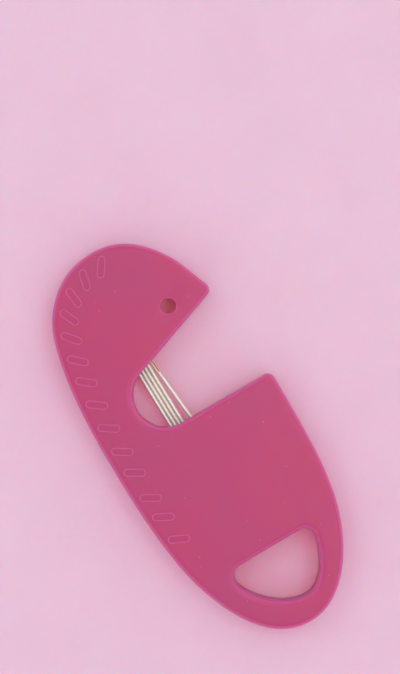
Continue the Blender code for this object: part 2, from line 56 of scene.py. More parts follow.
# Casing
FACE = 7.85  # height of the front face above the back face
RELIEF = 0.14  # height of the raised stitches on the front face
PARTING = 4.0  # height of the joint between the shells
SHELL_GAP = 0.1
PARTING_CHAMFER = 0.12
WALL = 1.4
EDGE_ROUND = 0.95
EDGE_BORDER = 0.25  # flat ring inside the rounded edge, which keeps the face's shading even
LEDGE_SLOPE = 0.7  # fall of the gap's lower edge
THROAT = ((-1.8, 9.8), 5.85)  # centre and radius of the round end of the gap
BEAK = ((13.4, 22.64), 1.3)
CORNER = ((15.35, 2.54), 1.3)
# The long curve from the corner round the body, up the back and over the head.
# Each anchor has x, y, heading, and the lengths of the handles behind and ahead of it.
BACK = (
    (16.65, 2.54, -90, 0, 9.0),
    (15.0, -22.0, -104, 7.0, 8.5),
    (0.3, -38.35, 180, 7.0, 7.0),
    (-13.85, -23.6, 108, 9.0, 8.0),
    (-16.65, 6.0, 90, 11.0, 9.5),
    (-12.9, 30.8, 62, 5.5, 3.6),
    (-0.5, 38.35, 0, 6.6, 5.5),
    (11.1, 31.2, -57, 5.0, 3.0),
    (14.62, 23.1, -68, 3.4, 0),
)
LOOP = (
    (-6.1, -23.25, 0, 0, 4.0),
    (6.9, -23.25, 0, 4.0, 1.0),
    (8.6, -25.2, -97, 1.0, 2.6),
    (1.9, -33.95, 180, 3.9, 4.6),
    (-7.85, -26.1, 103, 3.0, 1.4),
    (-6.1, -23.25, 0, 0.9, 0),
)
RIB = 0.9
BODY_RIBS = (-14.5, -6.5)  # heights of the cross ribs on the wide side of the body
BODY_RIB_X = (4, 18)
NECK_RIBS = (-15.0, 4.5, 23.0)  # heights of the cross ribs along the back
NECK_RIB_X = (-18, -6)
LONG_RIB_X = 9.9
LONG_RIB_Y = (-22, 4)
PEGS = (
    (13.4, 0.6),
    (12.2, -20.5),
    (-12.4, -6.0),
    (-10.7, -24.0),
    (0.6, -36.2),
    (-11.7, 15.2),
    (-8.6, 30.6),
    (6.3, 33.2),
)
PEG_RADIUS = 0.8
PEG_BOSS = 1.7
PEG_TIP = 2.5  # height of a peg's free end
ROOT_COVER = 0.5  # plastic between the root of a peg or keeper and the front face
FIT = 0.06  # clearance of a peg or pin in its hole

# Raised slanted stitches along the back edge of the front face
STITCHES = 14
STITCH_FIRST, STITCH_LAST = 0.487, 0.862  # places of the first and last along BACK, as shares of its length
STITCH_INSET = 3.1
STITCH_SLANT = 58.0
STITCH_LENGTH, STITCH_WIDTH = 4.1, 1.5
STITCH_LINE = 0.26
STITCH_ROOT = 0.2  # how far a stitch is sunk into the face

# Stored needles
NEEDLE_LENGTH = 36.5
NEEDLE_RADIUS = 0.345
NEEDLE_PITCH = 0.73
NEEDLE_HEIGHT = 2.68
EYE_FROM_END = (0.65, 3.15)
EYE_WIDTH = 0.26
EYE_GROOVE_LENGTH, EYE_GROOVE_WIDTH, EYE_GROOVE_DEPTH = 4.6, 0.2, 0.09
EYE_GROOVE_SHIFT = 0.4  # how much nearer the point the grooves are centred than the eye
GILT_FROM_END = (3.1, 3.9)  # stretch over which the gilt of the eye end fades out
ROW_LEVEL = 10.0  # the height, across the throat, at which the needles' places are given
ROW_X = -3.94
ROW_TILT = 1.0
ROW_EYES = (20.3, 21.2, 19.7, 20.8)  # heights of the four parallel needles' eye ends
LOOSE_X, LOOSE_TILT, LOOSE_EYE = -0.47, 5.1, 17.0  # the fifth needle, which has slid down and leans
ROLLS = (25, -40, 70, 10, 28)  # turn of each needle's eye about its own length

# Needle pocket
POCKET_X = (-5.0, 3.0)
POCKET_HEAD_X = (-5.0, 0.4)
POCKET_END, POCKET_HEAD_END = -21.7, 22.0
POCKET_MOUTH = 3.5  # distance from the throat's centre to which each end of the pocket is cut
POCKET_FLOOR = 2.3
POCKET_SIDE = 1.1
COVER_Y = (17.5, 22.5)
COVER_LEDGE = 0.5  # how far the cover overlaps the pocket on each side
COVER_Z = (3.42, 3.85)
COVER_GAP = 0.12
KEEPERS = (-19.0, -12.5, -6.0, 1.0)  # cross ribs of the front shell that hold the needles down
KEEPER_TIP = 3.3
KEEPER_GAP = 0.2

# Threading mechanism
HOLE = (6.75, 23.2)
HOLE_RADIUS = 1.32
HOLE_ROUND = 0.4
DRIVE_HEADING = 125.0
STROKE = 4.4
SEAT_RADIUS = 2.2
SEAT_Z = (2.0, 3.85)
TROUGH_Z = 2.95
TROUGH_HALF_WIDTHS = (0.12, 1.2)  # at the bottom and at the top
TROUGH_HALF_LENGTH = 1.45
TROUGH_OVERCUT = 0.3
SLIT_TOP = 4.9
SLIT_INNER_END = 1.5
SLIT_E = (-15, 12)
OUTSIDE_T = -9  # a place before the hole, out beyond the head's lower edge
MOUTH_BLOCK_E = (-7.2, 12)  # the solid stretch of the head round the hole and the slit
BLADE_T = (1.75, 10.4)
BLADE_Z = (4.15, 5.15)
BLADE_THICKNESS = 0.24
BLADE_FIT = 0.03  # clearance on each side of the blade in the carriage's slot
BLADE_NOTCH = 0.28
BLADE_TAPER = 0.5
BLADE_LAND = 0.03  # length of the short slopes beside the notch
BLADE_GROOVE_HALF = 0.35
BLADE_GROOVE_START = -8.7
CARRIAGE_T = (7.6, 12.6)
CARRIAGE_HALF_WIDTH = 1.8
CARRIAGE_Z = (2.6, 6.3)
RIVETS = (8.5, 9.6)
RIVET_RADIUS = 0.3
RIVET_FIT = 0.03
LUG_T = 10.1
LUG_RADIUS = 0.85
LUG_END = 0.5
SPRING_E = -3.3
SPRING_RADIUS = 0.95
SPRING_WIRE = 0.32
SPRING_TURNS = 8
SPRING_STEPS = 28  # points in each turn
SPRING_SEAT_GAP = 0.12
STOP_T = (1.9, 3.0)  # the wall that the spring pushes against
STOP_E = (SPRING_E - 1.6, CARRIAGE_HALF_WIDTH + 1)
EAR_T = (11.6, 12.6)
EAR_HALF_HEIGHT = 1.1
GUIDE_RADIUS = 0.45
GUIDE_T = (1.95, 14.0)
REAR_WALL_T = (13.2, 14.4)
REAR_WALL_HALF = 1.2
RAIL_GAP = 0.15
THUMB_T = (7.2, 13.0)
THUMB_HALF_WIDTH = 3.0
THUMB_Z = (0.12, 1.2)
THUMB_CORNER = 0.5
THUMB_RIDGES = 7
THUMB_GROOVE_RADIUS = 0.32
THUMB_BORDER_T, THUMB_BORDER_E = 0.4, 0.55  # plain borders before the first groove and beside them all
THUMB_SLOT_HALF = 1.1
RECESS_DEPTH = 1.3
RECESS_FLOOR_T = (1, 14.8)
RECESS_FLOOR_HALF = 4.4
RECESS_FLOOR_TOP = 2.3
RECESS_MARGIN = 0.35


# Points of a plan outline

def arc(circle, start, end, steps):
    (x, y), radius = circle
    angles = [math.radians(start + (end - start) * i / steps) for i in range(steps + 1)]
    return [(x + radius * math.cos(a), y + radius * math.sin(a)) for a in angles]


def smooth(anchors, steps):
    """Points of the cubic curve through anchors of place, heading and handle lengths."""
    points = []
    for (x0, y0, h0, _, ahead), (x1, y1, h1, behind, _) in zip(anchors, anchors[1:]):
        start = Vector((x0, y0))
        end = Vector((x1, y1))
        leave = start + ahead * Vector((math.cos(math.radians(h0)), math.sin(math.radians(h0))))
        arrive = end - behind * Vector((math.cos(math.radians(h1)), math.sin(math.radians(h1))))
        for i in range(steps):
            t = i / steps
            s = 1 - t
            p = s**3 * start + 3 * t * s**2 * leave + 3 * t**2 * s * arrive + t**3 * end
            points.append(tuple(p))
    return points


def gap_slope():
    """Slope, in degrees, of the straight edge that touches the throat's circle and the beak's."""
    (xt, yt), throat = THROAT
    (xb, yb), beak = BEAK
    reach = math.hypot(xb - xt, yb - yt)
    return math.degrees(math.atan2(yb - yt, xb - xt) - math.asin((throat + beak) / reach))


def body_outline(fineness=1):
    """The tool's outline seen from the front, clockwise from the body's corner."""
    slope = gap_slope()
    points = smooth(BACK, 10 * fineness)
    points += arc(BEAK, BACK[-1][2] + 90, slope - 90, 5 * fineness)
    points += arc(THROAT, slope + 90, 270 - LEDGE_SLOPE, 16 * fineness)
    points += arc(CORNER, 90 - LEDGE_SLOPE, 0, 5 * fineness)[:-1]
    return points


def loop_outline(fineness=1):
    return smooth(LOOP, 7 * fineness)


def mitred(points, distance):
    """Every point of the closed outline moved to its right by a distance."""
    count = len(points)
    steps = [(Vector(points[(i + 1) % count]) - Vector(points[i])).normalized() for i in range(count)]
    moved = []
    for i in range(count):
        before, after = steps[i - 1], steps[i]
        out = Vector((before.y + after.y, -before.x - after.x))
        moved.append(tuple(Vector(points[i]) + out * distance / (1 + before.dot(after))))
    return moved


def shifted(points, distance):
    """The same, without the points that would fold over."""
    edges = [(Vector(points[i]), Vector(points[(i + 1) % len(points)])) for i in range(len(points))]
    return [p for p in mitred(points, distance) if nearest(Vector(p), edges) > abs(distance) - 0.001]


def nearest(point, edges):
    """Distance from a point to the closest of the edges."""
    best = math.inf
    for start, end in edges:
        along = end - start
        share = max(0.0, min(1.0, (point - start).dot(along) / along.length_squared))
        best = min(best, (start + share * along - point).length)
    return best


def stadium(length, width, steps):
    """A round-ended slot's outline, along +X."""
    half, radius = (length - width) / 2, width / 2
    return arc(((half, 0), radius), 90, -90, steps) + arc(((-half, 0), radius), -90, -270, steps)


def drive(t, e):
    """The plan place of a point given along and across the blade from the eye hole."""
    a = math.radians(DRIVE_HEADING)
    x = HOLE[0] + t * math.cos(a) + e * math.sin(a)
    y = HOLE[1] + t * math.sin(a) - e * math.cos(a)
    return x, y


# Meshes

ON_AXIS = 0.000001  # a turned profile's radius below this is a point on the axis
WELD = 0.000001  # distance, in metres, under which a curve's caps are welded to its tube
CUTTERS = bpy.data.collections.new("cutters")
PIECES = bpy.data.collections.new("needle_threader")
for made_collection in (CUTTERS, PIECES):
    bpy.context.scene.collection.children.link(made_collection)


def from_bmesh(name, bm, keep=False):
    """An object of the mesh, among the pieces if it is kept and among the cutters if not."""
    bmesh.ops.recalc_face_normals(bm, faces=bm.faces)
    mesh = bpy.data.meshes.new(name)
    bm.to_mesh(mesh)
    bm.free()
    obj = bpy.data.objects.new(name, mesh)
    (PIECES if keep else CUTTERS).objects.link(obj)
    return obj


def evaluated_mesh(obj):
    bpy.context.view_layer.update()
    return bpy.data.meshes.new_from_object(obj.evaluated_get(bpy.context.evaluated_depsgraph_get()))


def lofted(name, loops, profile, keep=False):
    """A flat solid whose side walls follow a profile of inset and height round every outline."""
    bm = bmesh.new()
    ends = ([], [])
    for points in loops:
        rings = []
        for inset, z in profile:
            rings.append([bm.verts.new((x * MM, y * MM, z * MM)) for x, y in mitred(points, inset)])
        count = len(points)
        for low, high in zip(rings, rings[1:]):
            for i in range(count):
                j = (i + 1) % count
                bm.faces.new((low[i], low[j], high[j], high[i]))
        for end, ring in zip(ends, (rings[0], rings[-1])):
            end += [bm.edges.get((ring[i], ring[(i + 1) % count])) for i in range(count)]
    for end in ends:
        bmesh.ops.triangle_fill(bm, use_beauty=True, use_dissolve=False, edges=end)
    return from_bmesh(name, bm, keep)


def quarter(steps):
    """Angles through a quarter turn."""
    return [math.pi / 2 * i / steps for i in range(steps + 1)]


def plate(name, outlines, z, keep=False):
    return lofted(name, outlines, [(0, z[0]), (0, z[1])], keep)


def softened(name, outlines, z, radius, keep=False, steps=3):
    """A flat solid with rounded edges at both faces."""
    low = [(radius * (1 - math.sin(a)), z[0] + radius * (1 - math.cos(a))) for a in quarter(steps)]
    high = [(inset, z[0] + z[1] - height) for inset, height in reversed(low)]
    return lofted(name, outlines, low + high, keep)


def box(name, x, y, z, keep=False):
    corners = [(x[0], y[0]), (x[0], y[1]), (x[1], y[1]), (x[1], y[0])]
    return plate(name, [corners], z, keep)


def drive_corners(t, e):
    """Corners of a rectangle given by its ends along the blade and its sides across it."""
    return [drive(t[0], e[0]), drive(t[0], e[1]), drive(t[1], e[1]), drive(t[1], e[0])]


def drive_box(name, t, e, z, keep=False):
    return plate(name, [drive_corners(t, e)], z, keep)


def rounded_corners(corners, radius, steps=6):
    """A convex outline with its corners rounded."""
    points = []
    count = len(corners)
    for i in range(count):
        here = Vector(corners[i])
        to_last = (Vector(corners[i - 1]) - here).normalized()
        to_next = (Vector(corners[(i + 1) % count]) - here).normalized()
        half = math.acos(max(-1, min(1, to_last.dot(to_next)))) / 2
        middle = here + (to_last + to_next).normalized() * radius / math.sin(half)
        first = here + to_last * radius / math.tan(half) - middle
        last = here + to_next * radius / math.tan(half) - middle
        sweep = first.angle_signed(last)
        for k in range(steps + 1):
            points.append(tuple(middle + Matrix.Rotation(-sweep * k / steps, 2) @ first))
    return points


def lathe(name, profile, sides, keep=False):
    """A turned solid about +Z from radius and height pairs, whose first and last radius are 0."""
    bm = bmesh.new()
    rings = []
    turns = [2 * math.pi * i / sides for i in range(sides)]
    for radius, z in profile:
        if radius < ON_AXIS:
            rings.append([bm.verts.new((0, 0, z * MM))])
            continue
        ring = [(radius * math.cos(a) * MM, radius * math.sin(a) * MM, z * MM) for a in turns]
        rings.append([bm.verts.new(place) for place in ring])
    for low, high in zip(rings, rings[1:]):
        for i in range(sides):
            j = (i + 1) % sides
            corners = [low[i % len(low)], low[j % len(low)], high[j % len(high)], high[i % len(high)]]
            bm.faces.new(list(dict.fromkeys(corners)))
    return from_bmesh(name, bm, keep)


def turned(name, place, profile, sides=48, keep=False):
    obj = lathe(name, profile, sides, keep)
    obj.data.transform(Matrix.Translation(Vector((*place, 0)) * MM))
    return obj


def upright(name, place, z, radius, sides=32, keep=False):
    return turned(name, place, [(0, z[0]), (radius, z[0]), (radius, z[1]), (0, z[1])], sides, keep)


def laid(obj, start, end):
    """Turns a shape made along +Z from the origin so that it runs from one point towards another."""
    start, end = Vector(start) * MM, Vector(end) * MM
    turn = (end - start).to_track_quat("Z", "Y").to_matrix().to_4x4()
    obj.data.transform(Matrix.Translation(start) @ turn)
    return obj


def rod(name, start, end, radius, sides=24, keep=False, chamfer=0.0):
    """A straight rod between two points, with its ends chamfered or sharp."""
    length = (Vector(end) - Vector(start)).length
    side = [(radius, 0), (radius, length)]
    if chamfer:
        inner = radius - chamfer
        side = [(inner, 0), (radius, chamfer), (radius, length - chamfer), (inner, length)]
    return laid(lathe(name, [(0, 0), *side, (0, length)], sides, keep), start, end)


def combine(target, operation, others):
    """Applies one Boolean for each of the others."""
    for other in others:
        modifier = target.modifiers.new(other.name, "BOOLEAN")
        modifier.operation = operation
        modifier.object = other
        modifier.solver = "MANIFOLD"
    target.data = evaluated_mesh(target)
    target.modifiers.clear()
    for other in others:
        bpy.data.objects.remove(other)
    return target


def cut(target, *others):
    return combine(target, "DIFFERENCE", others)


def join(target, *others):
    return combine(target, "UNION", others)


def finish(obj, material, body, *nodes, slot=None, angle=40):
    """Gives a piece its material and shading, and says which body it rides on and what it stands for."""
    obj.data.materials.clear()
    obj.data.materials.append(material)
    obj.data.shade_smooth()
    obj.data.set_sharp_from_angle(angle=math.radians(angle))
    normals = obj.modifiers.new("even_faces", "WEIGHTED_NORMAL")
    normals.keep_sharp = True
    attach(obj, body)
    if nodes:
        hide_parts(*nodes)
    return obj


# Materials

def shader_of(name):
    """A new material, its node tree and its shader."""
    material = bpy.data.materials.new(name)
    material.use_nodes = True
    return material, material.node_tree, material.node_tree.nodes["Principled BSDF"]


def node(tree, kind, inputs=(), **settings):
    """A new node with its settings, and its inputs linked to sockets or set to values."""
    made = tree.nodes.new(kind)
    for key, value in settings.items():
        setattr(made, key, value)
    for key, value in dict(inputs).items():
        if isinstance(value, bpy.types.NodeSocket):
            tree.links.new(value, made.inputs[key])
        else:
            made.inputs[key].default_value = value
    return made


def noise(tree, scale, detail=2.0, roughness=0.5):
    place = node(tree, "ShaderNodeTexCoord").outputs["Object"]
    inputs = {"Vector": place, "Scale": scale, "Detail": detail, "Roughness": roughness}
    return node(tree, "ShaderNodeTexNoise", inputs).outputs["Fac"]


def ramp(tree, value, low, high, first, last):
    """A value that goes from first to last as the given one goes from low to high."""
    inputs = {"Value": value, "From Min": low, "From Max": high, "To Min": first, "To Max": last}
    return node(tree, "ShaderNodeMapRange", inputs).outputs["Result"]


def mixed(tree, share, first, last):
    """A colour between two, which are the Mix node's inputs 6 and 7."""
    inputs = {"Factor": share, 6: first, 7: last}
    return node(tree, "ShaderNodeMix", inputs, data_type="RGBA").outputs[2]


def bump(tree, height, distance, strength, normal=None):
    inputs = {"Height": height, "Distance": distance, "Strength": strength}
    if normal:
        inputs["Normal"] = normal
    return node(tree, "ShaderNodeBump", inputs).outputs["Normal"]


PALEST = 0.92  # limit of a paled channel
PALED = (1.3, 3.6, 2.2)  # gains that turn the plastic's colour into that of its pale specks, and of the painted highlight on the stitches' tops and the seat's trough
PAINTED_EDGE_LIGHT = (1.16, 3.0, 2.05)  # gains for the painted edge light on the thin rounded edges, which stands in for their highlight and the light coming through them
SPECK_DENSITY = 270.0
LIT_STITCH_TOPS = (FACE + 0.3 * RELIEF, FACE + RELIEF)  # the stitches' tops, painted paler as a highlight where their raised edges catch the light


def tinted(colour, gains):
    """A colour with each channel raised by its own gain, up to a pale limit."""
    return tuple(min(PALEST, c * gain) for c, gain in zip(colour, gains)) + (1,)


def moulded_plastic(name, colour, deep, roughness, glow, highlight_z=LIT_STITCH_TOPS, painted_glow=0.0):
    """Satin plastic with mottling, grain, pale specks, painted edge light and a painted highlight over a
    stretch of heights.
    """
    material, tree, shader = shader_of(name)
    mottle = ramp(tree, noise(tree, 70, 4, 0.6), 0.38, 0.62, 0.0, 1.0)
    base = mixed(tree, mottle, deep, colour)
    place = node(tree, "ShaderNodeTexCoord").outputs["Object"]
    spread = {"Vector": place, "Scale": SPECK_DENSITY}
    cells = node(tree, "ShaderNodeTexVoronoi", spread, voronoi_dimensions="2D")
    speck = ramp(tree, cells.outputs["Distance"], 0.015, 0.045, 1.0, 0.0)
    toss = node(tree, "ShaderNodeSeparateColor", {"Color": cells.outputs["Color"]}).outputs[0]
    chance = ramp(tree, toss, 0.55, 0.95, 0.0, 0.85)
    fleck = node(tree, "ShaderNodeMath", {0: speck, 1: chance}, operation="MULTIPLY").outputs[0]
    pale = tinted(colour, PALED)
    height = node(tree, "ShaderNodeSeparateXYZ", {"Vector": place}).outputs["Z"]
    # painted highlight: over the given stretch of heights the colour is paled towards the speck colour, for
    # light caught by the stitches' tops or the trough's bottom
    highlight_share = ramp(tree, height, highlight_z[0] * MM, highlight_z[1] * MM, 0.0, 0.5)
    normal = node(tree, "ShaderNodeTexCoord").outputs["Normal"]
    facing = node(tree, "ShaderNodeSeparateXYZ", {"Vector": normal}).outputs["Z"]
    flat = node(tree, "ShaderNodeMath", {0: facing}, operation="ABSOLUTE").outputs[0]
    # painted edge light: where the surface turns away from upright, at the rounded edges, the colour is paled
    # as a painted highlight and glow
    edge_light_share = ramp(tree, flat, 0.76, 0.995, 0.85, 0.0)
    with_edge_light = mixed(tree, edge_light_share, base, tinted(colour, PAINTED_EDGE_LIGHT))
    highlit = mixed(tree, highlight_share, with_edge_light, pale)
    tree.links.new(mixed(tree, fleck, highlit, pale), shader.inputs["Base Color"])
    rough = ramp(tree, noise(tree, 400, 4), 0.3, 0.7, roughness - 0.04, roughness + 0.05)
    tree.links.new(rough, shader.inputs["Roughness"])
    grain = bump(tree, noise(tree, 2600, 3, 0.6), 0.00002, 0.35)
    waves = bump(tree, noise(tree, 90, 2), 0.00012, 0.5, grain)
    tree.links.new(waves, shader.inputs["Normal"])
    shader.inputs["Subsurface Weight"].default_value = glow
    shader.inputs["Subsurface Radius"].default_value = (1.0, 0.25, 0.45)
    shader.inputs["Subsurface Scale"].default_value = 0.002
    # painted glow: a faint red emission, standing in for light that comes through the plastic into the shaded
    # eye hole
    shader.inputs["Emission Color"].default_value = (1.0, 0.08, 0.20, 1)
    shader.inputs["Emission Strength"].default_value = painted_glow
    return material


def drawn_metal(name, colour, roughness, along=(1, 1, 1), scale=900):
    """Metal with fine drawn or ground lines."""
    material, tree, shader = shader_of(name)
    place = node(tree, "ShaderNodeTexCoord").outputs["Object"]
    stretched = node(tree, "ShaderNodeMapping", {"Vector": place, "Scale": along}).outputs["Vector"]
    inputs = {"Vector": stretched, "Scale": scale, "Detail": 3.0}
    lines = node(tree, "ShaderNodeTexNoise", inputs).outputs["Fac"]
    dark = tinted(colour, (0.82, 0.82, 0.82))
    base = mixed(tree, ramp(tree, lines, 0.35, 0.65, 0.0, 1.0), dark, colour)
    tree.links.new(base, shader.inputs["Base Color"])
    rough = ramp(tree, lines, 0.3, 0.7, roughness - 0.05, roughness + 0.08)
    tree.links.new(rough, shader.inputs["Roughness"])
    tree.links.new(bump(tree, lines, 0.00001, 0.3), shader.inputs["Normal"])
    shader.inputs["Metallic"].default_value = 1.0
    return material


def needle_metal():
    """Satin nickel that turns to gilt at the eye, by the distance from the point that each vertex keeps."""
    material, tree, shader = shader_of("needle_nickel_and_gilt")
    height = node(tree, "ShaderNodeAttribute", attribute_name="along_needle").outputs["Fac"]
    wobble = ramp(tree, noise(tree, 1500, 2), 0.3, 0.7, -0.25, 0.25)
    edge = node(tree, "ShaderNodeMath", {0: height, 1: wobble}, operation="ADD").outputs[0]
    near, far = GILT_FROM_END
    gilt = ramp(tree, edge, NEEDLE_LENGTH - far, NEEDLE_LENGTH - near, 0.0, 1.0)
    lines = noise(tree, 2500, 3)
    polish = ramp(tree, lines, 0.3, 0.7, 0.0, 1.0)
    nickel = mixed(tree, polish, (0.74, 0.72, 0.62, 1), (0.90, 0.88, 0.77, 1))
    tree.links.new(mixed(tree, gilt, nickel, (0.97, 0.84, 0.62, 1)), shader.inputs["Base Color"])
    tree.links.new(ramp(tree, lines, 0.3, 0.7, 0.40, 0.52), shader.inputs["Roughness"])
    shader.inputs["Metallic"].default_value = 0.7
    return material


MAGENTA = moulded_plastic(
    "magenta_plastic",
    colour=(0.538, 0.033, 0.150, 1),
    deep=(0.498, 0.038, 0.168, 1),
    roughness=0.36,
    glow=0.4,
)
BUTTON_MAGENTA = moulded_plastic(
    "button_magenta_plastic",
    colour=(0.545, 0.030, 0.142, 1),
    deep=(0.470, 0.039, 0.162, 1),
    roughness=0.42,
    glow=0.4,
)
WHITE = moulded_plastic(
    "white_plastic",
    colour=(0.83, 0.82, 0.78, 1),
    deep=(0.76, 0.75, 0.71, 1),
    roughness=0.38,
    glow=0.15,
)
SEAT = moulded_plastic(
    "seat_plastic",
    colour=(0.94, 0.155, 0.24, 1),
    deep=(0.80, 0.12, 0.19, 1),
    roughness=0.33,
    glow=0.5,
    # painted highlight: a pale streak along the bottom of the trough
    highlight_z=(TROUGH_Z + 0.25, TROUGH_Z + 0.05),
    # painted glow that lightens the shaded hollow of the eye hole
    painted_glow=0.10,
)
NEEDLE = needle_metal()
STEEL = drawn_metal("drawn_steel", (0.66, 0.66, 0.67, 1), 0.26)
BLADE_STEEL = drawn_metal("ground_blade_steel", (0.75, 0.75, 0.76, 1), 0.2, (1, 1, 8))


# Casing

def casing_half(name, joint, inward, face):
    """The whole outline from the chamfered joint between the shells to the rounded edge of a face."""
    chamfer = [(PARTING_CHAMFER, joint), (0.0, joint + inward * PARTING_CHAMFER)]
    profile = chamfer + edge_profile(EDGE_ROUND, face) + [(EDGE_ROUND + EDGE_BORDER, face)]
    return lofted(name, [body_outline(4), loop_outline(4)[::-1]], profile, True)


def edge_profile(radius, face, steps=8):
    """Inset and height round the quarter circle from the wall to the face."""
    sign = 1 if face > PARTING else -1
    return [(radius * (1 - math.cos(a)), face - sign * radius * (1 - math.sin(a))) for a in quarter(steps)]


def cavity(name, z):
    """The hollow inside one shell, before ribs and bosses are left standing in it."""
    return plate(name, [shifted(body_outline(), WALL), shifted(loop_outline()[::-1], WALL)], z)


def left_standing(z):
    """Ribs, bosses and blocks that stand in the hollow of either shell."""
    depth = (z[0] - 1, z[1] + 1)
    half = RIB / 2
    rear = (SPRING_E - REAR_WALL_HALF, SPRING_E + REAR_WALL_HALF)
    blocks = [upright(f"boss_{i}", spot, depth, PEG_BOSS) for i, spot in enumerate(PEGS)]
    blocks += [box(f"rib_{y}", BODY_RIB_X, (y - half, y + half), depth) for y in BODY_RIBS]
    blocks += [box(f"neck_rib_{y}", NECK_RIB_X, (y - half, y + half), depth) for y in NECK_RIBS]
    blocks.append(box("long_rib", (LONG_RIB_X, LONG_RIB_X + RIB), LONG_RIB_Y, depth))
    blocks.append(drive_box("mouth_block", (OUTSIDE_T, STOP_T[0] + OVERLAP), MOUTH_BLOCK_E, depth))
    blocks.append(drive_box("stop", STOP_T, STOP_E, depth))
    blocks.append(drive_box("rear_wall", REAR_WALL_T, rear, depth))
    rail = CARRIAGE_HALF_WIDTH + RAIL_GAP
    blocks.append(drive_box("rail", (STOP_T[0], REAR_WALL_T[0]), (rail, rail + RIB), depth))
    return blocks


def guide_hole(name):
    """The spring guide's hole, half in each shell."""
    ends = [(*drive(t, SPRING_E), PARTING) for t in (GUIDE_T[0] - FIT, GUIDE_T[1] + FIT)]
    return rod(name, *ends, GUIDE_RADIUS + FIT)


def raised_stitch(index, place, heading):
    """A soft-topped ridge round a stadium, sunk a little into the face."""
    turn = Matrix.Rotation(heading, 2)
    rings = []
    for shrink in (0, STITCH_LINE):
        ring = stadium(STITCH_LENGTH - 2 * shrink, STITCH_WIDTH - 2 * shrink, 8)
        rings.append([tuple(turn @ Vector(p) + place) for p in ring])
    # shares of the line's width and of its relief, from its foot to its top
    rise = ((0, 0.35), (0.16, 0.8), (0.36, 1))
    profile = [(0, FACE - STITCH_ROOT)] + [(STITCH_LINE * inset, FACE + RELIEF * up) for inset, up in rise]
    return lofted(f"stitch_{index}", [rings[0], rings[1][::-1]], profile)


def stitch_places():
    """Number, place and heading of each stitch, evenly spaced along the back edge."""
    path = [Vector(p) for p in smooth(BACK, 30)]
    lengths = [0.0]
    for a, b in zip(path, path[1:]):
        lengths.append(lengths[-1] + (b - a).length)
    for i in range(STITCHES):
        share = STITCH_FIRST + (STITCH_LAST - STITCH_FIRST) * i / (STITCHES - 1)
        at = next(k for k, length in enumerate(lengths) if length >= share * lengths[-1])
        along = (path[at + 1] - path[at - 1]).normalized()
        place = path[at] + STITCH_INSET * Vector((along.y, -along.x))
        yield i, place, math.atan2(along.y, along.x) + math.radians(STITCH_SLANT)


def eye_hole():
    """The cutter of the eye hole, with its rounded lip."""
    r, lip = HOLE_RADIUS, HOLE_ROUND
    low, high = PARTING - OVERLAP, FACE + OVERLAP
    rounded = [(r + lip * (1 - math.cos(a)), FACE - lip * (1 - math.sin(a))) for a in quarter(6)]
    return turned("eye_hole", HOLE, [(0, low), (r, low)] + rounded + [(r + lip, high), (0, high)], 64)


def front_shell():
    shell = casing_half("front_shell_moulding", PARTING + SHELL_GAP / 2, 1, FACE)
    join(shell, *[raised_stitch(*place) for place in stitch_places()])
    inside = (PARTING, FACE - WALL)
    hollow = cut(cavity("front_hollow", (inside[0] - OVERLAP, inside[1])), *left_standing(inside))
    slit = drive_box("thread_slit", (OUTSIDE_T, SLIT_INNER_END), SLIT_E, (PARTING - OVERLAP, SLIT_TOP))
    groove_t = (BLADE_GROOVE_START, STOP_T[1] + OVERLAP)
    groove_e = (-BLADE_GROOVE_HALF, BLADE_GROOVE_HALF)
    groove = drive_box("blade_groove", groove_t, groove_e, (PARTING - 0.4, BLADE_Z[1] + 0.15))
    cut(shell, hollow, slit, groove, eye_hole(), guide_hole("front_guide_hole"))
    root = FACE - ROOT_COVER
    pegs = [upright(f"peg_{i}", spot, (PEG_TIP, root), PEG_RADIUS) for i, spot in enumerate(PEGS)]
    x = (POCKET_X[0] + KEEPER_GAP, POCKET_X[1] - KEEPER_GAP)
    keepers = [box(f"keeper_{y}", x, (y - RIB / 2, y + RIB / 2), (KEEPER_TIP, root)) for y in KEEPERS]
    join(shell, *pegs, *keepers)
    return finish(shell, MAGENTA, "casing", "front_shell", slot="shell")


def back_blocks():
    """The solid round the needle pocket and under the thumb button's recess."""
    middle, side = THROAT[0][1], POCKET_SIDE
    depth = (0, PARTING + 1)
    body_x = (POCKET_X[0] - side, POCKET_X[1] + side)
    head_x = (POCKET_HEAD_X[0] - side, POCKET_HEAD_X[1] + side)
    body = box("pocket_block", body_x, (POCKET_END - side, middle), depth)
    head = box("pocket_head_block", head_x, (middle, POCKET_HEAD_END + side), depth)
    recess_e = (-RECESS_FLOOR_HALF, RECESS_FLOOR_HALF)
    return [body, head, drive_box("recess_floor", RECESS_FLOOR_T, recess_e, (0, RECESS_FLOOR_TOP))]


def pocket_cutters(top):
    """The needle pocket's two ends, each open to the throat, and the ledge for its cover."""
    middle = THROAT[0][1]
    body = box("pocket_body", POCKET_X, (POCKET_END, middle - POCKET_MOUTH), (POCKET_FLOOR, top))
    head = box("pocket_head", POCKET_HEAD_X, (middle + POCKET_MOUTH, POCKET_HEAD_END), (POCKET_FLOOR, top))
    ledge_x = (POCKET_HEAD_X[0] - COVER_LEDGE, POCKET_HEAD_X[1] + COVER_LEDGE)
    return [body, head, box("cover_recess", ledge_x, COVER_Y, (COVER_Z[0] - 0.02, top))]


